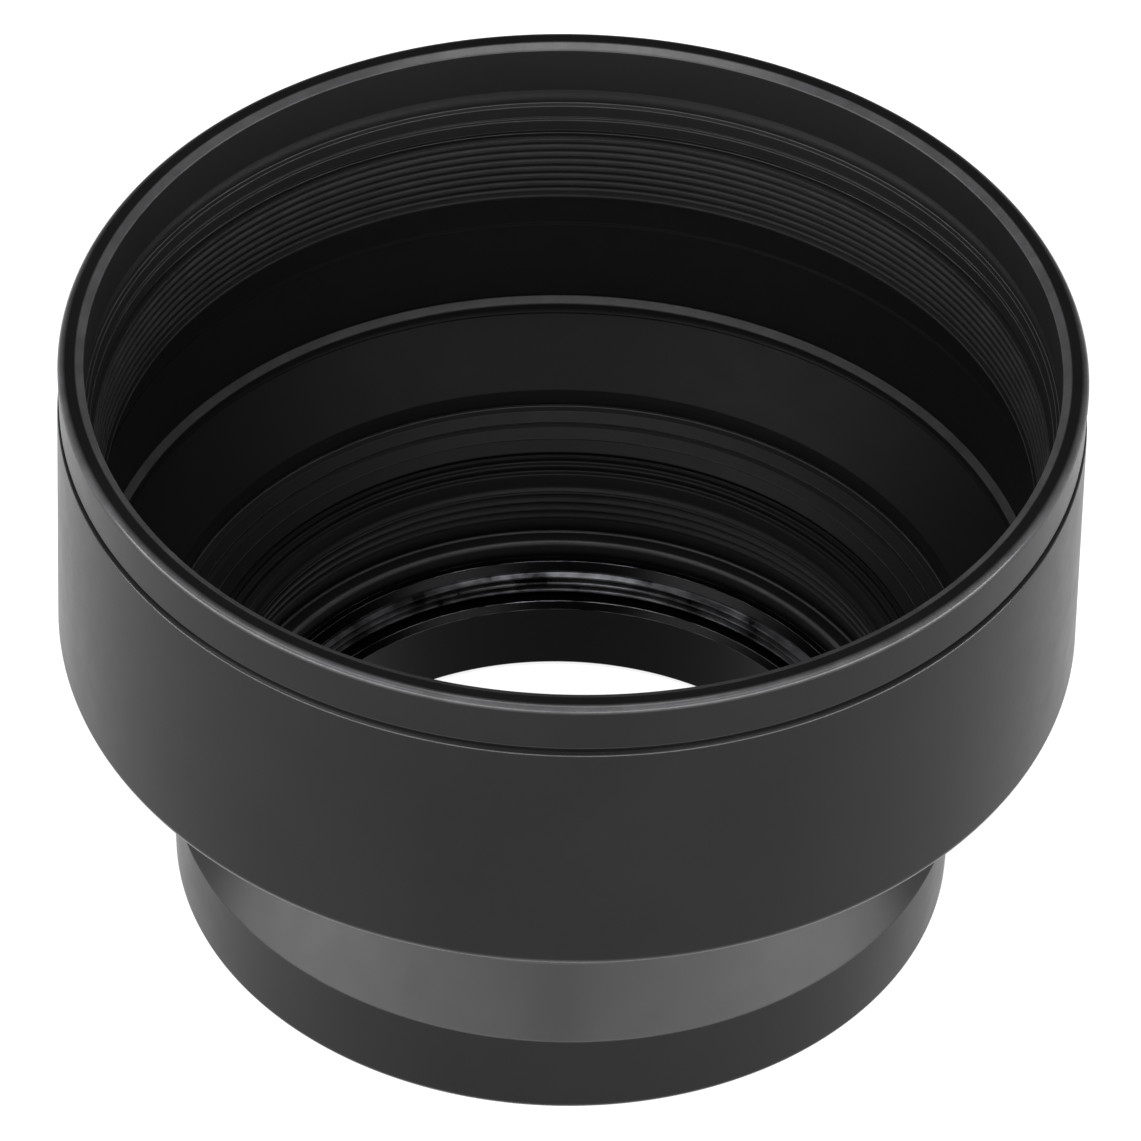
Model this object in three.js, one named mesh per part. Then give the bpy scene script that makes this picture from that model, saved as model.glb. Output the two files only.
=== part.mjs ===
// A collapsible rubber lens hood, pulled out to its full length.
// Two aluminium rings hold the rear of one rubber moulding. The moulding has a cuff with a shoulder that
// narrows to a neck, a collar and a front barrel. Two conical webs join them, one either side of the collar,
// and turn inside out when the hood is pushed back.
//
// Units are millimetres. +Z is the optical axis, towards the subject. The origin is on the axis, at the rear
// end of the male thread. Every piece is turned about Z, so each is one closed outline of [radius, height].

import * as THREE from 'three';

// ---- Driving dimensions ----

const segments = 72;

// Screw threads, the same size at the rear and in front
const threadRadius = 26;
const threadPitch = 0.75;
const threadDepth = 0.46;
const maleThreadLength = 2.1;

// Mount ring
const boreWall = 1.14;
const boreChamfer = 0.5;
const seatWidth = 4.6;
const flangeThickness = 1.4;
const threadRelief = 0.3;
const spigotStep = 1.2;
const spigotLength = 3.3;

// Filter ring
const filterTubeWall = 1.15;
const filterThreadLength = 2.4;
const filterMouthDepth = 0.6;
const filterChamfer = 0.6;
const clampWidth = 1.8;
const clampThickness = 1.1;
const landHeight = 0.3;

// Rubber cuff, from the mount ring's seat to the neck
const cuffWall = 1.5;
const cuffLength = 8;
const cuffTaper = 0.35;
const cuffEdge = 0.5;
const shoulderHeight = 6.2;
const shoulderInset = 3.25;
const neckWall = 1.2;
const lipOverhang = 1.3;
const lipHeight = 1.5;
const lipEdge = 0.3;
const recessDepth = 1.4;
const recessHeight = 1.5;
const recessEdge = 0.2;
const recessRamp = 0.4;

// Folding webs and the collar between them, with their wall measured level
const webWall = 1.35;
const lowerWebHeight = 3.1;
const lowerWebFlare = 2.65;
const collarHeight = 2;
const collarFlare = 2.2;
const upperWebHeight = 6;
const upperWebFlare = 5.55;

// Front barrel
const hingeStep = 0.7;
const hingeHeight = 0.9;
const barrelWall = 2.8;
const barrelLength = 23.4;
const barrelRearEdge = 1.5;
const ribBandRear = 12.9;
const ribBandStep = 0.8;
const ribBandRamp = 0.2;

// Rim band
const rimHeight = 4.7;
const rimWall = 2;
const rimTaper = 0.15;
const rimOuterRound = 0.9;
const rimInnerRound = 0.3;
const rimGroove = 0.35;

// Clearances
const screwClearance = 0.05;
const rubberClearance = 0.1;

// ---- Heights, from the rear ----

const seatZ = maleThreadLength;
const flangeFrontZ = seatZ + flangeThickness;
const spigotFrontZ = flangeFrontZ + spigotLength;
const filterFrontZ = spigotFrontZ + filterThreadLength + filterMouthDepth;
const clampFrontZ = filterFrontZ - landHeight;
const clampRearZ = clampFrontZ - clampThickness;
const lipFrontZ = filterFrontZ + lipHeight;
const recessFrontZ = lipFrontZ + recessHeight;
const cuffFrontZ = seatZ + cuffLength;
const neckZ = cuffFrontZ + shoulderHeight;
const collarRearZ = neckZ + lowerWebHeight;
const collarFrontZ = collarRearZ + collarHeight;
const barrelRearZ = collarFrontZ + upperWebHeight;
const ribBandZ = barrelRearZ + ribBandRear;
const barrelFrontZ = barrelRearZ + barrelLength;
const frontZ = barrelFrontZ + rimHeight;

// ---- Radii, from the axis ----

const threadRootRadius = threadRadius - threadDepth;
const boreRadius = threadRootRadius - boreWall;
const flangeRadius = threadRadius + seatWidth;
const spigotRadius = threadRadius + spigotStep;
const filterTubeRadius = spigotRadius + screwClearance + filterTubeWall;
const clampRadius = filterTubeRadius + clampWidth;
const cuffRearRadius = flangeRadius + rubberClearance + cuffWall;
const cuffFrontRadius = cuffRearRadius + cuffTaper;
const neckOuterRadius = cuffFrontRadius - shoulderInset;
const neckInnerRadius = neckOuterRadius - neckWall;
const lipRadius = threadRadius + lipOverhang;
const landRadius = lipRadius - rubberClearance;
const recessRadius = lipRadius + recessDepth;
const collarRearRadius = neckInnerRadius + lowerWebFlare;
const collarFrontRadius = collarRearRadius + collarFlare;
const webFrontRadius = collarFrontRadius + upperWebFlare;
const barrelInnerRadius = webFrontRadius + hingeStep;
const barrelRadius = barrelInnerRadius + barrelWall;
const rimRadius = barrelRadius - rimTaper;
const rimInnerRadius = rimRadius - rimWall;

// ---- Materials ----

const finish = (color, roughness, metalness) => {
	return new THREE.MeshStandardMaterial({ color, roughness, metalness });
};

const anodisedAluminium = () => finish(0x17181a, 0.35, 0.9);
const smoothRubber = () => finish(0x2b2b2c, 0.6, 0);
const ribbedRubber = () => finish(0x1c1c1d, 0.8, 0);

// ---- Outlines ----

// Points on an arc about [radius, height], with angles in degrees from the outward direction
const arc = (centreRadius, centreZ, size, from, to, steps) => {
	const points = [];
	for (let i = 0; i <= steps; i++) {
		const angle = THREE.MathUtils.degToRad(from + (to - from) * i / steps);
		points.push([centreRadius + size * Math.cos(angle), centreZ + size * Math.sin(angle)]);
	}
	return points;
};

// A row of V-shaped thread turns, from rear to front, between a first radius and a second
const threadTurns = (endRadius, middleRadius, rearZ, length) => {
	const turns = Math.floor(length / threadPitch);
	const points = [];
	for (let i = 0; i <= 2 * turns; i++) {
		points.push([i % 2 ? middleRadius : endRadius, rearZ + i * threadPitch / 2]);
	}
	return points;
};

// Turns a closed outline about Z. The outline runs up its outer side and down its inner side.
const turned = (name, material, outline) => {
	const points = [...outline, outline[0]].map(([radius, z]) => new THREE.Vector2(radius, z));
	const geometry = new THREE.LatheGeometry(points, segments);
	geometry.rotateX(Math.PI / 2);
	const mesh = new THREE.Mesh(geometry, material);
	mesh.name = name;
	return mesh;
};

// ---- Aluminium rings ----

// Male thread, flange that seats on the lens outside a relief groove, and spigot that takes the filter ring
const mountRing = () => turned('mount_ring', anodisedAluminium(), [
	[boreRadius, 0],
	...threadTurns(threadRootRadius, threadRadius, 0, maleThreadLength),
	[threadRootRadius, seatZ + threadRelief],
	[threadRadius + threadRelief, seatZ + threadRelief],
	[threadRadius + threadRelief, seatZ],
	[flangeRadius, seatZ],
	[flangeRadius, flangeFrontZ],
	[spigotRadius, flangeFrontZ],
	[spigotRadius, spigotFrontZ],
	[boreRadius + boreChamfer, spigotFrontZ],
	[boreRadius, spigotFrontZ - boreChamfer],
]);

// Skirt over the spigot, flange that clamps the rubber's bead, land inside its lip, and female thread
const filterRing = () => turned('filter_ring', anodisedAluminium(), [
	[filterTubeRadius, flangeFrontZ],
	[filterTubeRadius, clampRearZ],
	[clampRadius, clampRearZ],
	[clampRadius, clampFrontZ],
	[landRadius, clampFrontZ],
	[landRadius, filterFrontZ],
	[threadRadius + filterChamfer, filterFrontZ],
	...threadTurns(threadRadius, threadRootRadius, spigotFrontZ, filterThreadLength).reverse(),
	[spigotRadius + screwClearance, spigotFrontZ],
	[spigotRadius + screwClearance, flangeFrontZ],
]);

// ---- Rubber moulding ----

// Wall round the rings, with a bead between their flanges, a lip over the filter ring, a recess in front of
// the lip, and a shoulder that narrows to the neck
const baseCuff = () => turned('base_cuff', smoothRubber(), [
	[flangeRadius + rubberClearance, seatZ],
	[cuffRearRadius - cuffEdge, seatZ],
	[cuffRearRadius, seatZ + cuffEdge],
	[cuffFrontRadius, cuffFrontZ - cuffEdge],
	[cuffFrontRadius - cuffEdge / 2, cuffFrontZ + cuffEdge / 2],
	[neckOuterRadius, neckZ],
	[neckInnerRadius, neckZ],
	[recessRadius - recessEdge, recessFrontZ + recessRamp],
	[recessRadius, recessFrontZ],
	[recessRadius, lipFrontZ],
	[lipRadius + lipEdge, lipFrontZ],
	[lipRadius, lipFrontZ - lipEdge],
	[lipRadius, clampFrontZ],
	[clampRadius + rubberClearance, clampFrontZ],
	[clampRadius + rubberClearance, clampRearZ],
	[filterTubeRadius + rubberClearance, clampRearZ],
	[filterTubeRadius + rubberClearance, flangeFrontZ],
	[flangeRadius + rubberClearance, flangeFrontZ],
]);

// Conical wall between two stations, each [inner radius, height, wall], with flat ends on its neighbours
const cone = (name, material, [rearRadius, rearZ, rearWall], [endRadius, endZ, endWall]) =>
	turned(name, material, [
		[rearRadius + rearWall, rearZ],
		[endRadius + endWall, endZ],
		[endRadius, endZ],
		[rearRadius, rearZ],
	]);

const lowerFoldWeb = () => cone('lower_fold_web', ribbedRubber(),
	[neckInnerRadius, neckZ, neckWall], [collarRearRadius, collarRearZ, webWall]);

// Ring that both webs hinge on
const foldCollar = () => cone('fold_collar', smoothRubber(),
	[collarRearRadius, collarRearZ, webWall], [collarFrontRadius, collarFrontZ, webWall]);

const upperFoldWeb = () => cone('upper_fold_web', smoothRubber(),
	[collarFrontRadius, collarFrontZ, webWall], [webFrontRadius, barrelRearZ, webWall]);

// Wide stiff tube, with a thicker band inside, which is ribbed and widens towards the front
const frontBarrel = () => turned('front_barrel', smoothRubber(), [
	[webFrontRadius, barrelRearZ],
	...arc(barrelRadius - barrelRearEdge, barrelRearZ + barrelRearEdge, barrelRearEdge, -90, 0, 4),
	[barrelRadius, barrelFrontZ - rimGroove],
	[barrelRadius - rimGroove, barrelFrontZ],
	[rimInnerRadius, barrelFrontZ],
	[barrelInnerRadius - ribBandStep, ribBandZ + ribBandRamp],
	[barrelInnerRadius, ribBandZ],
	[barrelInnerRadius, barrelRearZ + hingeHeight],
]);

// Plain front band, set off by a groove, with a rounded lip
const rimBand = () => turned('rim_band', smoothRubber(), [
	[rimInnerRadius, barrelFrontZ],
	[barrelRadius - rimGroove, barrelFrontZ],
	[rimRadius, barrelFrontZ + rimGroove],
	...arc(barrelRadius - rimOuterRound, frontZ - rimOuterRound, rimOuterRound, 0, 90, 4),
	[rimInnerRadius + rimInnerRound, frontZ],
	[rimInnerRadius, frontZ - rimInnerRound],
]);

// ---- Assembly ----

const hood = new THREE.Group();
hood.add(mountRing(), filterRing());
hood.add(baseCuff(), lowerFoldWeb(), foldCollar(), upperFoldWeb(), frontBarrel(), rimBand());

export default hood;
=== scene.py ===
"""A collapsible rubber lens hood on its two-piece screw ring, pulled out to its full length.

Sizes are in millimetres from the optical axis and from the rear end of the male thread, and each mesh is
made in metres. The rubber is one moulding, made as zones that meet edge to edge.
"""

import math

import bpy
import numpy as np
from mathutils import Matrix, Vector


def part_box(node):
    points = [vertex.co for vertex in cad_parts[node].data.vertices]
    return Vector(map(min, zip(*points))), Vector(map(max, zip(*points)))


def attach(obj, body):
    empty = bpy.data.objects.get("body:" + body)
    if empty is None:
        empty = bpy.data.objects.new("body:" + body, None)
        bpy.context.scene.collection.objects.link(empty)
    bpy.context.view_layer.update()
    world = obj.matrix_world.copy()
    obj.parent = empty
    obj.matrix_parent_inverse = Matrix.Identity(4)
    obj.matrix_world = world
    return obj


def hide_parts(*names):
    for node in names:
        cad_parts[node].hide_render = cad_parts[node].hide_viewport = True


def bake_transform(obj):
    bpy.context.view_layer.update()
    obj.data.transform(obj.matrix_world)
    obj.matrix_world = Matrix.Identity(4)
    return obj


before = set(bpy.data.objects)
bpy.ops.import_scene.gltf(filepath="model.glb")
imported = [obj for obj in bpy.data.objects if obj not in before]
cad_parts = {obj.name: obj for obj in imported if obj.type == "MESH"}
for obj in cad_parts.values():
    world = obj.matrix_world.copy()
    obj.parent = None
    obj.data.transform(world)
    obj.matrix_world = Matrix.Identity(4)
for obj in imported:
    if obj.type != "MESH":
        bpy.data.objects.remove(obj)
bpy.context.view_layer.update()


# ---- Mount ring ----
# The ring that screws into the lens: aluminium bar, turned, threaded and black anodised. A flange seats on
# the lens, and a spigot in front takes the filter ring. Its bore is the narrowest part of the light's path.

MM = 0.001
SEGMENTS = 256
ARC_STEP = math.radians(14)
CUT_SHARE = 0.45
GUARD = 0.05
GUARD_SHARE = 0.48
FULL_EDGE_TURN = 1.2
FULL_EDGE_FILLET = 0.6


def span(node):
    """Outer radius, rear height and front height of a node of the frame, in millimetres."""
    low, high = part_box(node)
    return high[0] / MM, low[2] / MM, high[2] / MM


def rounded(stations, closed=True):
    """Outline through stations of [radius, height, fillet].

    Each corner is cut back by fillet * tan(turn / 2) along both of its sides, and an arc joins the cuts. A
    guard point just outside each end of the arc keeps the flats flat under smooth shading. A cut takes no
    more than CUT_SHARE of a side, and a guard point GUARD_SHARE.

    The rows that come back are [radius, height, edge]. Edge is 0 on the flats and highest in the middle of an
    arc, where it is 1 for a turn of FULL_EDGE_TURN or more round a fillet of FULL_EDGE_FILLET or less.
    """
    stations = np.array(stations, float)
    points = stations[:, :2]
    count = len(points)
    rows = []
    for i in range(count):
        here = points[i]
        if not closed and i in (0, count - 1):
            rows.append([[*here, 0.0]])
            continue
        back = points[i - 1] - here
        ahead = points[(i + 1) % count] - here
        back_length, ahead_length = np.hypot(*back), np.hypot(*ahead)
        back, ahead = back / back_length, ahead / ahead_length
        turn = math.pi - math.acos(np.clip(back @ ahead, -1, 1))
        cut = min(stations[i, 2] * math.tan(turn / 2), CUT_SHARE * back_length, CUT_SHARE * ahead_length)
        size = cut / math.tan(turn / 2)
        middle = back + ahead
        centre = here + middle / np.hypot(*middle) * size / math.cos(turn / 2)
        first = here + back * cut - centre
        last = here + ahead * cut - centre
        swing = math.atan2(first[0] * last[1] - first[1] * last[0], first @ last)
        share = np.linspace(0, 1, max(3, math.ceil(turn / ARC_STEP) + 1))
        angles = math.atan2(first[1], first[0]) + swing * share
        arc = centre + size * np.stack([np.cos(angles), np.sin(angles)], 1)
        # Edge drives the materials' lighter edge colour, which is partly wear and partly painted highlight.
        sharpness = min(1.0, turn / FULL_EDGE_TURN) * min(1.0, FULL_EDGE_FILLET / size)
        edge = np.sin(math.pi * share) * sharpness
        before = here + back * min(cut + GUARD, GUARD_SHARE * back_length)
        after = here + ahead * min(cut + GUARD, GUARD_SHARE * ahead_length)
        rows.append(np.vstack([[*before, 0.0], np.column_stack([arc, edge]), [*after, 0.0]]))
    return np.vstack(rows)


def revolved(name, outline, finish, closed=True, radius=None):
    """Carries an outline of [radius, height, edge] once round the axis.

    A point is at (radius cos turn, radius sin turn, height). A threaded piece gives its own radius for each
    row and turn. Finish is the material number of the wall from each row to the next.
    """
    rows = len(outline)
    height, edge = outline[:, 1], outline[:, 2]
    turn = np.linspace(0, 2 * math.pi, SEGMENTS, endpoint=False)
    if radius is None:
        radius = np.broadcast_to(outline[:, :1], (rows, SEGMENTS))
    points = np.empty((rows, SEGMENTS, 3), np.float32)
    points[..., 0] = radius * np.cos(turn) * MM
    points[..., 1] = radius * np.sin(turn) * MM
    points[..., 2] = height[:, None] * MM
    walls = rows if closed else rows - 1
    i, j = np.meshgrid(np.arange(walls), np.arange(SEGMENTS), indexing="ij")
    up, on = (i + 1) % rows, (j + 1) % SEGMENTS
    corners = np.stack([i * SEGMENTS + j, i * SEGMENTS + on, up * SEGMENTS + on, up * SEGMENTS + j], -1)
    corners = corners.reshape(-1, 4)
    mesh = bpy.data.meshes.new(name)
    mesh.vertices.add(rows * SEGMENTS)
    mesh.vertices.foreach_set("co", points.ravel())
    mesh.loops.add(corners.size)
    mesh.loops.foreach_set("vertex_index", corners.ravel().astype(np.int32))
    mesh.polygons.add(len(corners))
    mesh.polygons.foreach_set("loop_start", np.arange(0, corners.size, 4, dtype=np.int32))
    mesh.polygons.foreach_set("use_smooth", np.ones(len(corners), bool))
    mesh.polygons.foreach_set("material_index", np.repeat(finish[:walls], SEGMENTS).astype(np.int32))
    mesh.update(calc_edges=True)
    # The edge value paints edges lighter: partly wear, partly painted highlight.
    wear_and_highlight = mesh.attributes.new("edge", "FLOAT", "POINT")
    wear_and_highlight.data.foreach_set("value", np.repeat(edge, SEGMENTS).astype(np.float32))
    piece = bpy.data.objects.new(name, mesh)
    bpy.context.collection.objects.link(piece)
    return piece


def thread(height, low, high):
    """Depth of a right-hand screw thread at each height and turn.

    It is a triangle wave of (height / pitch - turn), with flats at crest and root, times the depth. It fades
    in and out over half a pitch at the two ends of the threaded length.
    """
    turn = np.linspace(0, 1, SEGMENTS, endpoint=False)
    phase = (height[:, None] / THREAD_PITCH - turn) % 1
    wave = np.clip((1 + 2 * THREAD_FLAT) * (1 - np.abs(2 * phase - 1)) - THREAD_FLAT, 0, 1)
    inside = np.minimum(height - low, high - height) / (0.5 * THREAD_PITCH)
    return THREAD_DEPTH * wave * np.clip(inside, 0, 1)[:, None]


def with_threaded_wall(outline, after, heights, radius):
    """Puts a plain wall at these heights into an outline, after one of its rows.

    It gives back the longer outline and the slice of it that the wall's rows fill.
    """
    wall = np.column_stack([np.full(len(heights), radius), heights, np.zeros(len(heights))])
    outline = np.vstack([outline[:after + 1], wall, outline[after + 1:]])
    return outline, slice(after + 1, after + 1 + len(heights))


def linear(code):
    """Linear colour of an sRGB hex code."""
    parts = np.array([int(code[i:i + 2], 16) for i in (1, 3, 5)]) / 255
    parts = np.where(parts <= 0.04045, parts / 12.92, ((parts + 0.055) / 1.055) ** 2.4)
    return (*parts, 1.0)


def add(tree, kind, settings, inputs):
    """Adds a node with its settings. Each input is a value, or a socket that is linked to it."""
    made = tree.nodes.new("ShaderNode" + kind)
    for name, value in settings.items():
        setattr(made, name, value)
    for name, value in inputs.items():
        if isinstance(value, bpy.types.NodeSocket):
            tree.links.new(value, made.inputs[name])
        else:
            made.inputs[name].default_value = value
    return made


def blank(name):
    """A material with only its output, and that output."""
    material = bpy.data.materials.new(name)
    material.use_nodes = True
    tree = material.node_tree
    tree.nodes.clear()
    return material, tree, add(tree, "OutputMaterial", {}, {})


def black_anodised_turned_aluminium():
    """Aluminium, turned, then anodised and dyed black.

    The lathe leaves rings about 0.12 mm apart, drawn 0.2 mm apart so that they show. The dye wears thin at
    the edges, where grey metal comes through. That lighter grey also stands in for the edges' highlights, so
    it is partly wear and partly painted highlight.
    """
    material, tree, output = blank("black_anodised_turned_aluminium")
    place = add(tree, "TexCoord", {}, {}).outputs["Object"]
    parts = add(tree, "SeparateXYZ", {}, {"Vector": place})
    across = add(tree, "CombineXYZ", {}, {"X": parts.outputs["X"], "Y": parts.outputs["Y"]})
    radius = add(tree, "VectorMath", {"operation": "LENGTH"}, {0: across.outputs[0]})
    along = add(tree, "Math", {"operation": "ADD"}, {0: radius.outputs["Value"], 1: parts.outputs["Z"]})
    ring = add(tree, "CombineXYZ", {}, {"X": along.outputs[0]})
    rings = add(tree, "TexNoise", {}, {"Vector": ring.outputs[0], "Scale": 1 / (0.2 * MM), "Detail": 3.0})
    blotch = add(tree, "TexNoise", {}, {"Vector": place, "Scale": 1 / (3 * MM), "Detail": 4.0})
    edge = add(tree, "Attribute", {"attribute_name": "edge"}, {})
    patchiness = add(tree, "MapRange", {}, {"Value": blotch.outputs["Fac"], "From Min": 0.35, "From Max": 0.65})
    wear_and_highlight = add(tree, "Math", {"operation": "MULTIPLY"}, {0: edge.outputs["Fac"], 1: patchiness.outputs[0]})
    # Lighter grey along the edges: partly worn dye, partly painted highlight.
    colour = add(tree, "Mix", {"data_type": "RGBA"}, {
        0: wear_and_highlight.outputs[0], 6: linear("#050506"), 7: linear("#85868a")})
    rough = add(tree, "MapRange", {}, {"Value": rings.outputs["Fac"], "To Min": 0.18, "To Max": 0.32})
    bump = add(tree, "Bump", {}, {"Height": rings.outputs["Fac"], "Strength": 0.25, "Distance": 0.02 * MM})
    shader = add(tree, "BsdfPrincipled", {}, {
        "Base Color": colour.outputs[2], "Metallic": 0.6, "Roughness": rough.outputs[0],
        "Specular IOR Level": 0.1, "Normal": bump.outputs[0]})
    tree.links.new(shader.outputs[0], output.inputs["Surface"])
    return material


anodised = black_anodised_turned_aluminium()

THREAD_RADIUS = 26.0
THREAD_PITCH = 0.75
THREAD_DEPTH = 0.46
THREAD_FLAT = 0.15
ROOT_RADIUS = THREAD_RADIUS - THREAD_DEPTH
BORE_RADIUS = 24.4
BORE_CHAMFER = 0.5
REAR_CHAMFER = 0.3
SPIGOT_RADIUS = 27.2
SPIGOT_FRONT = 6.8
RELIEF = 0.3
MALE_THREAD_ROWS = 56

flange_radius, mount_rear, _ = span("mount_ring")
_, seat_z, neck_z = span("base_cuff")
_, flange_front, filter_front = span("filter_ring")

outline = rounded([
    [BORE_RADIUS + REAR_CHAMFER, mount_rear, 0.1],
    [ROOT_RADIUS, mount_rear, 0.1],
    [ROOT_RADIUS, seat_z + RELIEF, 0.06],
    [THREAD_RADIUS + RELIEF, seat_z + RELIEF, 0.06],
    [THREAD_RADIUS + RELIEF, seat_z, 0.06],
    [flange_radius, seat_z, 0.12],
    [flange_radius, flange_front, 0.12],
    [SPIGOT_RADIUS, flange_front, 0.06],
    [SPIGOT_RADIUS, SPIGOT_FRONT, 0.1],
    [BORE_RADIUS + BORE_CHAMFER, SPIGOT_FRONT, 0.08],
    [BORE_RADIUS, SPIGOT_FRONT - BORE_CHAMFER, 0.08],
    [BORE_RADIUS, mount_rear + REAR_CHAMFER, 0.08],
])
threaded = np.linspace(mount_rear + 0.15, seat_z - 0.1, MALE_THREAD_ROWS)
rear_of_root = (outline[:, 0] > BORE_RADIUS + BORE_CHAMFER) & (outline[:, 1] < seat_z / 2)
root_rear = np.flatnonzero(rear_of_root)[-1]
outline, turns = with_threaded_wall(outline, root_rear, threaded, ROOT_RADIUS)
radius = np.repeat(outline[:, :1], SEGMENTS, 1)
radius[turns] += thread(threaded, mount_rear, seat_z)
mount_ring = revolved("mount_ring_turned", outline, np.zeros(len(outline)), radius=radius)
mount_ring.data.materials.append(anodised)
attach(mount_ring, "base")
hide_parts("mount_ring")


# ---- Filter ring ----
# Turned and black anodised like the mount ring, and screwed down on its spigot. Its flange clamps the
# rubber's bead, and its mouth takes a filter. Its chamfer and thread are painted a lighter grey, partly
# worn edges and partly painted highlight.

SKIRT_RADIUS = 28.4
SKIRT_BORE = 27.25
CLAMP_REAR = 8.4
CLAMP_FRONT = 9.5
LAND_RADIUS = 27.2
MOUTH_CHAMFER = 0.6
FEMALE_THREAD_ROWS = 64
clamp_radius, _, _ = span("filter_ring")
thread_front = filter_front - MOUTH_CHAMFER

outline = rounded([
    [SKIRT_RADIUS, flange_front, 0.08],
    [SKIRT_RADIUS, CLAMP_REAR, 0.06],
    [clamp_radius, CLAMP_REAR, 0.12],
    [clamp_radius, CLAMP_FRONT, 0.12],
    [LAND_RADIUS, CLAMP_FRONT, 0.05],
    [LAND_RADIUS, filter_front, 0.06],
    [THREAD_RADIUS + MOUTH_CHAMFER, filter_front, 0.05],
    [THREAD_RADIUS, thread_front, 0.05],
    [THREAD_RADIUS, SPIGOT_FRONT, 0.06],
    [SKIRT_BORE, SPIGOT_FRONT, 0.06],
    [SKIRT_BORE, flange_front, 0.08],
])
threaded = np.linspace(thread_front - 0.1, SPIGOT_FRONT + 0.1, FEMALE_THREAD_ROWS)
front_of_crest = (outline[:, 0] < THREAD_RADIUS + 0.2) & (outline[:, 1] > CLAMP_REAR)
mouth_rear = np.flatnonzero(front_of_crest)[-1]
outline, turns = with_threaded_wall(outline, mouth_rear, threaded, THREAD_RADIUS)
radius = np.repeat(outline[:, :1], SEGMENTS, 1)
crests = thread(threaded, SPIGOT_FRONT, thread_front + 0.3)
radius[turns] -= crests
# The thread rows get half the full edge value, so the lighter grey there is partly wear and partly painted
# highlight.
outline[turns, 2] = 0.5 * crests.mean(1) / THREAD_DEPTH
filter_ring = revolved("filter_ring_turned", outline, np.zeros(len(outline)), radius=radius)
filter_ring.data.materials.append(anodised)
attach(filter_ring, "base")
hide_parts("filter_ring")


# ---- Base cuff ----
# The thick rear of the rubber moulding. Its bead is clamped between the two rings' flanges, its lip laps
# over the filter ring, and its shoulder narrows to the neck, which is ribbed inside against stray light.


def moulded_rubber(name, dark, light, low_rough, high_rough, grain, gloss):
    """Black rubber, compression moulded in a sand-blasted steel mould.

    Carbon black makes it nearly black, with a slow cloudy change of tone as it ages. The blasted mould gives
    it a fine grain, of the size given in millimetres. Handling makes its edges glossier, and a lighter grey
    painted along them stands in for their highlights.
    """
    material, tree, output = blank(name)
    place = add(tree, "TexCoord", {}, {}).outputs["Object"]
    cloud = add(tree, "TexNoise", {}, {"Vector": place, "Scale": 1 / (14 * MM), "Detail": 3.0})
    smear = add(tree, "TexNoise", {}, {
        "Vector": place, "Scale": 1 / (2.6 * MM), "Detail": 5.0, "Roughness": 0.6})
    grit = add(tree, "TexNoise", {}, {
        "Vector": place, "Scale": 1 / (grain * MM), "Detail": 2.0, "Roughness": 0.55})
    pits = add(tree, "TexVoronoi", {}, {"Vector": place, "Scale": 1 / (2.4 * grain * MM)})
    edge = add(tree, "Attribute", {"attribute_name": "edge"}, {})
    tone = add(tree, "MapRange", {}, {"Value": cloud.outputs["Fac"], "From Min": 0.3, "From Max": 0.7})
    body = add(tree, "Mix", {"data_type": "RGBA"}, {
        0: tone.outputs[0], 6: linear(dark), 7: linear(light)})
    patchiness = add(tree, "MapRange", {}, {
        "Value": smear.outputs["Fac"], "From Min": 0.3, "From Max": 0.7, "To Min": 0.6, "To Max": 1.0})
    highlight_and_polish = add(tree, "Math", {"operation": "MULTIPLY"}, {0: edge.outputs["Fac"], 1: patchiness.outputs[0]})
    # Painted highlight: a lighter grey along rounded edges, rib crests, the hinge shelf and the lip bevel.
    colour = add(tree, "Mix", {"data_type": "RGBA"}, {
        0: highlight_and_polish.outputs[0], 6: body.outputs[2], 7: linear("#353536")})
    rough = add(tree, "MapRange", {}, {
        "Value": smear.outputs["Fac"], "From Min": 0.3, "From Max": 0.7,
        "To Min": low_rough, "To Max": high_rough})
    shine = add(tree, "Math", {"operation": "MULTIPLY_ADD"}, {
        0: highlight_and_polish.outputs[0], 1: -0.20, 2: rough.outputs[0]})
    relief = add(tree, "Math", {"operation": "MULTIPLY_ADD"}, {
        0: pits.outputs["Distance"], 1: 0.35, 2: grit.outputs["Fac"]})
    bump = add(tree, "Bump", {}, {"Height": relief.outputs[0], "Strength": 0.13, "Distance": 0.03 * MM})
    shader = add(tree, "BsdfPrincipled", {}, {
        "Base Color": colour.outputs[2], "Roughness": shine.outputs[0], "IOR": 1.52,
        "Specular IOR Level": gloss, "Normal": bump.outputs[0]})
    tree.links.new(shader.outputs[0], output.inputs["Surface"])
    return material


# The light-trap copy is painted darker than the outside as shade inside the hood; its rougher finish and
# coarser grain are its own.
outside = moulded_rubber("moulded_rubber_outside", "#080808", "#0b0b0c", 0.30, 0.34, 0.17, 0.10)
inside = moulded_rubber("moulded_rubber_light_trap_shaded", "#060606", "#080808", 0.52, 0.58, 0.22, 0.10)


GROOVE_SHARE = 0.62


def ribs(rear, front, count, depth):
    """Outline of a row of ribs between two points of a wall, [radius, height, edge].

    Along the wall each pitch is a flat-topped rib and a rounded groove. The groove is the part of a raised
    cosine that stands above (1 - GROOVE_SHARE), scaled to the depth and cut outwards into the wall.
    """
    share = np.linspace(0, 1, 12 * count + 1)
    wave = 0.5 - 0.5 * np.cos(2 * math.pi * share * count)
    cut = depth * np.clip((wave - (1 - GROOVE_SHARE)) / GROOVE_SHARE, 0, 1)
    points = np.outer(1 - share, rear) + np.outer(share, front)
    # Edge paints the rib crests lighter as highlight lines.
    edge = 0.4 * np.clip(1 - 2 * cut / depth, 0, 1)
    return np.column_stack([points[:, 0] + cut, points[:, 1], edge])


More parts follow.
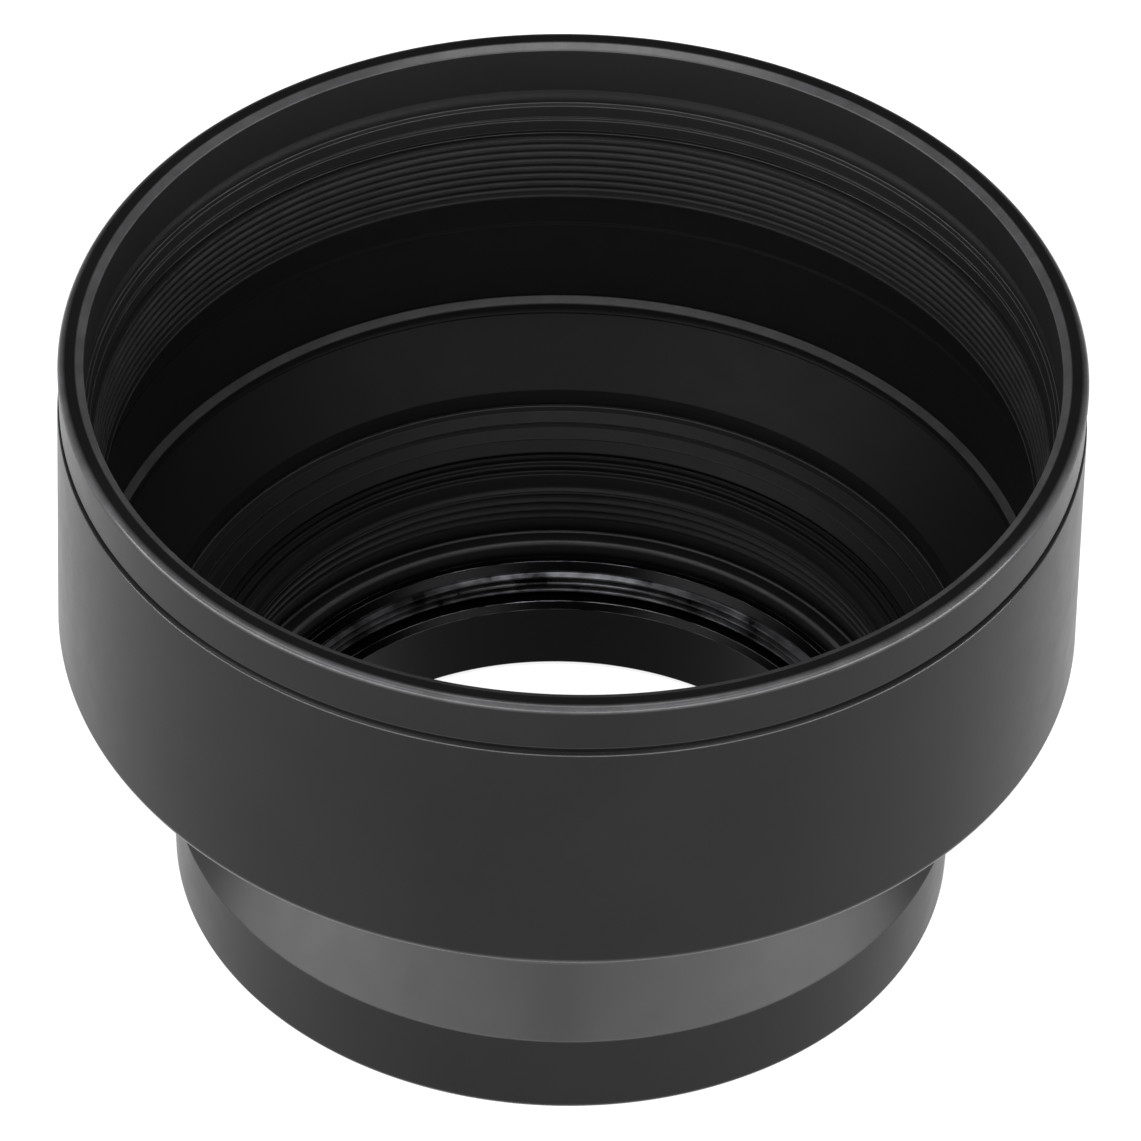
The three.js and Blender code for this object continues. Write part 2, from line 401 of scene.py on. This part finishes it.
def rubber_zone(name, outline, finish, closed=True):
    """A zone of the moulding. Finish is 0 where the wall is outside rubber, and 1 where it is light trap."""
    piece = revolved(name, outline, finish, closed)
    piece.data.materials.append(outside)
    piece.data.materials.append(inside)
    return piece


cuff_radius, _, _ = span("base_cuff")
CUFF_FRONT = 10.1
CUFF_TAPER = 0.35
LIP_RADIUS = 27.3
LIP_FRONT = 11.3
RECESS_RADIUS = 28.7
RECESS_FRONT = 12.8
NECK_OUTER = 29.3
NECK_INNER = 28.1
NECK_HINGE = 0.4
NECK_RIBS = 3
RIB_DEPTH = 0.32
BEAD_GAP = 0.1
LIP_GAP = 0.02

outside_wall = rounded([
    [flange_radius + BEAD_GAP, seat_z, 0.1],
    [cuff_radius - CUFF_TAPER, seat_z, 0.55],
    [cuff_radius, CUFF_FRONT - 0.1, 0.28],
    [NECK_OUTER, neck_z - NECK_HINGE, 0.7],
    [NECK_OUTER, neck_z, 0.0],
], closed=False)
rib_rear = [RECESS_RADIUS - 0.2, RECESS_FRONT + 0.4]
rib_wall = ribs(rib_rear, [NECK_INNER, neck_z], NECK_RIBS, RIB_DEPTH)[::-1]
inside_wall = rounded([
    [*rib_rear, 0.0],
    [RECESS_RADIUS, RECESS_FRONT, 0.15],
    [RECESS_RADIUS, LIP_FRONT, 0.2],
    [LIP_RADIUS, LIP_FRONT, 0.35],
    [LIP_RADIUS, CLAMP_FRONT + LIP_GAP, 0.1],
    [clamp_radius + BEAD_GAP, CLAMP_FRONT + LIP_GAP, 0.1],
    [clamp_radius + BEAD_GAP, CLAMP_REAR, 0.1],
    [SKIRT_RADIUS + BEAD_GAP, CLAMP_REAR, 0.1],
    [SKIRT_RADIUS + BEAD_GAP, flange_front, 0.1],
    [flange_radius + BEAD_GAP, flange_front, 0.1],
    [flange_radius + BEAD_GAP, seat_z + 0.3, 0.0],
], closed=False)
outline = np.vstack([outside_wall, rib_wall, inside_wall[1:]])
finish = np.arange(len(outline)) >= len(outside_wall) - 1
cuff = rubber_zone("rubber_cuff", outline, finish)
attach(cuff, "base")
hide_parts("base_cuff")


# ---- Folding webs ----
# Thin cones of the same moulding, one each side of the collar. Each is thinnest at its hinges, and the upper
# one turns inside out as it folds. The lower web is ribbed inside like the neck, and the upper one is plain.

WEB_ROWS = 97


def folding_web(name, rear, front, hinge, walls):
    """A web as its outer face, with a Solidify modifier for its wall, so that it stays closed as it folds.

    The face is upright for a hinge's length at both ends and straight between. The thickness of the wall at
    each height is read from walls, whose rows are [share of the web's height, thickness].
    """
    rear, front = np.array(rear), np.array(front)
    path = rounded([
        [*rear, 0.0],
        [rear[0], rear[1] + hinge, 2 * hinge],
        [front[0], front[1] - hinge, 2 * hinge],
        [*front, 0.0],
    ], closed=False)
    length = np.concatenate([[0], np.cumsum(np.hypot(*np.diff(path[:, :2], axis=0).T))])
    at = np.linspace(0, length[-1], WEB_ROWS)
    radius = np.interp(at, length, path[:, 0])
    height = np.interp(at, length, path[:, 1])
    outline = np.column_stack([radius, height, np.zeros(WEB_ROWS)])
    walls = np.array(walls)
    share = (height - rear[1]) / (front[1] - rear[1])
    wall = np.interp(share, walls[:, 0], walls[:, 1])
    piece = rubber_zone(name, outline, np.zeros(WEB_ROWS), closed=False)
    group = piece.vertex_groups.new(name="wall")
    for row, thickness in enumerate(wall):
        group.add(range(row * SEGMENTS, (row + 1) * SEGMENTS), thickness / wall.max(), "REPLACE")
    solid = piece.modifiers.new("wall", "SOLIDIFY")
    solid.thickness = wall.max() * MM
    solid.offset = -1
    solid.vertex_group = "wall"
    solid.material_offset = 1
    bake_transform(piece)
    return piece


collar_radius, collar_rear, collar_front = span("fold_collar")
_, barrel_rear, barrel_front = span("front_barrel")
COLLAR_REAR_OUTER = 32.1
WEB_FRONT_OUTER = 39.85
LOWER_HINGE = 0.3
UPPER_HINGE = 0.35
HINGE_WALL = 0.75
BEAD_WALL = 1.3
RIBBED_SHARE = 0.5
WEB_RIBS = 3
WEB_RIB_WALL = 1.02
WEB_RIB_DEPTH = 0.288

# The lower web's ribs follow a raised cosine, and its first rows lead in from the neck's full wall.
ribbed = np.linspace(0, RIBBED_SHARE, 12 * WEB_RIBS + 1)
wave = 0.5 - 0.5 * np.cos(2 * math.pi * WEB_RIBS * ribbed / RIBBED_SHARE)
rib_walls = WEB_RIB_WALL - WEB_RIB_DEPTH * wave
rib_walls[:4] = np.linspace(NECK_OUTER - NECK_INNER, rib_walls[3], 4)
lower_web = folding_web(
    "rubber_lower_web", [NECK_OUTER, neck_z], [COLLAR_REAR_OUTER, collar_rear], LOWER_HINGE,
    [*zip(ribbed, rib_walls), [0.52, 0.70], [0.55, 0.72], [0.58, 1.05], [0.84, 1.05], [0.92, HINGE_WALL],
     [1.0, HINGE_WALL]])
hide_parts("lower_fold_web")

upper_web = folding_web(
    "rubber_upper_web", [collar_radius, collar_front], [WEB_FRONT_OUTER, barrel_rear], UPPER_HINGE,
    [[0.0, HINGE_WALL], [0.05, HINGE_WALL], [0.10, 1.0], [0.86, 1.0], [0.90, HINGE_WALL], [0.94, HINGE_WALL],
     [0.98, BEAD_WALL], [1.0, BEAD_WALL]])
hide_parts("upper_fold_web")


# ---- Fold collar ----
# The stiffer ring between the two webs, which keeps the hood round half way. It is moulded with them. A fine
# groove runs round the middle of its inside, and its ends thin down to the webs' hinges.

COLLAR_WALL = 1.35
COLLAR_END = 0.25
groove_z = collar_rear + 1.02

outline = rounded([
    [COLLAR_REAR_OUTER, collar_rear, 0.05],
    [COLLAR_REAR_OUTER, collar_rear + COLLAR_END, 0.5],
    [collar_radius, collar_front - COLLAR_END, 0.5],
    [collar_radius, collar_front, 0.05],
    [collar_radius - HINGE_WALL, collar_front, 0.05],
    [collar_radius - HINGE_WALL - 0.05, collar_front - 0.15, 0.1],
    [collar_radius - COLLAR_WALL, collar_front - COLLAR_END, 0.12],
    [COLLAR_REAR_OUTER + 0.05, groove_z + 0.2, 0.05],
    [COLLAR_REAR_OUTER + 0.22, groove_z, 0.05],
    [COLLAR_REAR_OUTER - 0.28, groove_z - 0.1, 0.05],
    [COLLAR_REAR_OUTER - COLLAR_WALL + 0.2, collar_rear + 0.28, 0.12],
    [COLLAR_REAR_OUTER - HINGE_WALL, collar_rear + 0.15, 0.1],
    [COLLAR_REAR_OUTER - HINGE_WALL, collar_rear, 0.05],
])
outer_rows = np.argmax(outline[:, 1] > collar_front - 0.2)
finish = np.arange(len(outline)) >= outer_rows
collar = rubber_zone("rubber_collar", outline, finish)
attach(collar, "middle_stage")
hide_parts("fold_collar")


# ---- Front barrel ----
# The wide stiff tube that shades the lens, thick enough to keep its shape. Its outside is smooth. Inside, a
# plain undercut wall leads to a thicker ribbed band that widens forwards, with a deep and a fine groove.

barrel_radius, _, _ = span("front_barrel")
RIM_INNER = 39.85
UNDERCUT_RADIUS = 39.2
BAND_RADIUS = 38.4
BAND_REAR = 40.3
BAND_EDGE = 0.7
BAND_FRONT = 49.3
BAND_STEP = 0.3
BAND_RIBS = 7
BAND_RIB_DEPTH = 0.3
DEEP_GROOVE = 46.5
FINE_GROOVE = 48.1
FAINT_STEP = 36.9
SHELF_FRONT = barrel_rear + 1.3
SHELF_REAR = barrel_rear + 1.0
RIM_GROOVE = 0.35
# Edge value for rubbed faces: it lowers their roughness and paints them lighter as a highlight line.
POLISH_AND_HIGHLIGHT = 0.9


def band_radius(height):
    """Radius of the ribbed band's face, a straight taper from its rear edge to its front step."""
    share = (height - BAND_REAR - BAND_EDGE) / (BAND_FRONT - BAND_REAR - BAND_EDGE)
    return BAND_RADIUS + (RIM_INNER - BAND_STEP - BAND_RADIUS) * share


def groove(height, width, depth):
    """Stations of a groove across the band, from front to rear, with rounded lips."""
    return [
        [band_radius(height + width / 2), height + width / 2, 0.1],
        [band_radius(height) + depth, height + width / 5, 0.1],
        [band_radius(height) + depth, height - width / 5, 0.1],
        [band_radius(height - width / 2), height - width / 2, 0.1],
    ]


outside_wall = rounded([
    [WEB_FRONT_OUTER - BEAD_WALL, barrel_rear, 0.0],
    [WEB_FRONT_OUTER, barrel_rear, 0.08],
    [WEB_FRONT_OUTER + 0.1, barrel_rear + 0.1, 0.08],
    [WEB_FRONT_OUTER + 0.3, barrel_rear, 0.15],
    [barrel_radius, barrel_rear, 1.5],
    [barrel_radius, barrel_front - RIM_GROOVE, 0.22],
    [barrel_radius - RIM_GROOVE, barrel_front, 0.0],
], closed=False)
rib_rear = [BAND_RADIUS, BAND_REAR + BAND_EDGE]
rib_front = [band_radius(DEEP_GROOVE - 0.5), DEEP_GROOVE - 0.5]
rib_wall = ribs(rib_rear, rib_front, BAND_RIBS, BAND_RIB_DEPTH)[::-1]
front_wall = rounded([
    [RIM_INNER, barrel_front, 0.0],
    [RIM_INNER, BAND_FRONT + 0.15, 0.1],
    [band_radius(BAND_FRONT), BAND_FRONT, 0.1],
    *groove(FINE_GROOVE, 0.35, 0.16),
    *groove(DEEP_GROOVE, 0.9, 0.5),
    [*rib_front, 0.0],
], closed=False)
rear_wall = rounded([
    [*rib_rear, 0.0],
    [BAND_RADIUS - 0.25, BAND_REAR + 0.35, 0.3],
    [BAND_RADIUS - 0.15, BAND_REAR, 0.15],
    [UNDERCUT_RADIUS, BAND_REAR, 0.15],
    [UNDERCUT_RADIUS, FAINT_STEP, 0.1],
    [UNDERCUT_RADIUS - 0.12, FAINT_STEP - 0.2, 0.1],
    [UNDERCUT_RADIUS, SHELF_FRONT, 0.1],
    [WEB_FRONT_OUTER - BEAD_WALL, SHELF_REAR, 0.12],
    [WEB_FRONT_OUTER - BEAD_WALL, barrel_rear, 0.0],
], closed=False)
# The shelf in front of the hinge is rubbed each time the web folds back, and is painted lighter there as a
# highlight line.
shelf = (rear_wall[:, 1] > SHELF_REAR - 0.1) & (rear_wall[:, 1] < SHELF_FRONT + 0.05)
rear_wall[shelf, 2] = POLISH_AND_HIGHLIGHT
outline = np.vstack([outside_wall, front_wall, rib_wall[1:-1], rear_wall])
finish = np.arange(len(outline)) >= len(outside_wall) - 1
barrel = rubber_zone("rubber_barrel", outline, finish)
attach(barrel, "front_stage")
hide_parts("front_barrel")


# ---- Rim band ----
# The plain front of the moulding, set off from the barrel by the V of a fine groove. Its lip has a flat top,
# a broad outer round and a bevel inside. Handling polishes the round and the bevel, and a lighter grey
# painted on them stands in for their highlights.

_, _, rim_front = span("rim_band")
RIM_TAPER = 0.15
BEVEL = 0.7

outline = rounded([
    [RIM_INNER, barrel_front, 0.05],
    [barrel_radius - RIM_GROOVE, barrel_front, 0.05],
    [barrel_radius - RIM_TAPER, barrel_front + RIM_GROOVE, 0.2],
    [barrel_radius, rim_front, 0.9],
    [RIM_INNER + BEVEL, rim_front, 0.3],
    [RIM_INNER, rim_front - BEVEL / 2, 0.15],
])
bevel = (outline[:, 0] < RIM_INNER + BEVEL) & (outline[:, 1] > rim_front - 0.6 * BEVEL)
# The bevel is painted lighter as a highlight line.
outline[bevel, 2] = POLISH_AND_HIGHLIGHT
finish = outline[:, 0] < RIM_INNER + 0.1
rim = rubber_zone("rubber_rim", outline, finish)
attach(rim, "front_stage")
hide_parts("rim_band")


# ---- Studio ----
# A pale acrylic table lit from beneath, which shows white through the bore. Low strips stand in front, with a
# soft box either side and one overhead. A long lens from above keeps the edges' ellipses nearly parallel.


def pale_acrylic():
    """Opal acrylic sheet, extruded, with a satin face.

    It sends back a fifth of the light that falls on it, and glows evenly from lamps beneath.
    """
    material, tree, output = blank("pale_acrylic")
    place = add(tree, "TexCoord", {}, {}).outputs["Object"]
    haze = add(tree, "TexNoise", {}, {"Vector": place, "Scale": 1 / (60 * MM), "Detail": 2.0})
    tint = add(tree, "Mix", {"data_type": "RGBA"}, {
        0: haze.outputs["Fac"], 6: linear("#7c7c7c"), 7: linear("#848484")})
    shader = add(tree, "BsdfPrincipled", {}, {
        "Base Color": tint.outputs[2], "Roughness": 0.6, "Emission Color": linear("#ffffff"),
        "Emission Strength": 0.86})
    tree.links.new(shader.outputs[0], output.inputs["Surface"])
    return material


TABLE_METRES = 8
bpy.ops.mesh.primitive_plane_add(size=TABLE_METRES, location=(0, 0, 0))
table = bpy.context.object
table.name = "table"
table.data.materials.append(pale_acrylic())

world = bpy.data.worlds.new("studio")
world.use_nodes = True
room = world.node_tree.nodes["Background"]
room.inputs["Color"].default_value = linear("#f2f4f6")
room.inputs["Strength"].default_value = 0.22
bpy.context.scene.world = world


BOX_DISTANCE = 0.80
BOX_AIM = 30 * MM


def soft_box(name, azimuth, elevation, width, height, power):
    """A soft box that faces the hood, in metres and watts. Azimuth 0 is behind, and 90 to the right."""
    a, e = math.radians(azimuth), math.radians(elevation)
    away = np.array([math.sin(a) * math.cos(e), math.cos(a) * math.cos(e), math.sin(e)])
    lamp = bpy.data.lights.new(name, "AREA")
    lamp.shape = "RECTANGLE"
    lamp.size, lamp.size_y, lamp.energy = width, height, power
    box = bpy.data.objects.new(name, lamp)
    box.visible_camera = False
    box.location = away * BOX_DISTANCE + [0, 0, BOX_AIM]
    box.rotation_euler = (math.pi / 2 - e, 0, math.pi - a)
    bpy.context.collection.objects.link(box)


for azimuth, power in ((-106, 11.5), (-154, 10.4), (154, 10.4), (106, 11.5)):
    soft_box(f"low_strip_{azimuth}", azimuth, 6.5, 0.72, 0.22, power)
soft_box("left_box", -122, 42, 0.62, 0.18, 3.4)
soft_box("right_box", 138, 42, 0.42, 0.18, 1.7)
soft_box("top_box", 180, 85, 0.45, 0.28, 5.0)

CAMERA_AIM = (0.20 * MM, 0, 32.6 * MM)
CAMERA_DISTANCE = 1163.8 * MM
CAMERA_ELEVATION = math.radians(41.88)
CAMERA_ROLL = math.radians(1.55)
camera = bpy.data.objects.new("camera", bpy.data.cameras.new("camera"))
camera.data.lens = 445.7
camera.data.sensor_width = 36
tilt = Matrix.Rotation(math.pi / 2 - CAMERA_ELEVATION, 4, "X") @ Matrix.Rotation(CAMERA_ROLL, 4, "Z")
back = np.array([0, -math.cos(CAMERA_ELEVATION), math.sin(CAMERA_ELEVATION)]) * CAMERA_DISTANCE
camera.matrix_world = Matrix.Translation(back + CAMERA_AIM) @ tilt
bpy.context.collection.objects.link(camera)
bpy.context.scene.camera = camera
bpy.context.scene.view_settings.view_transform = "Standard"
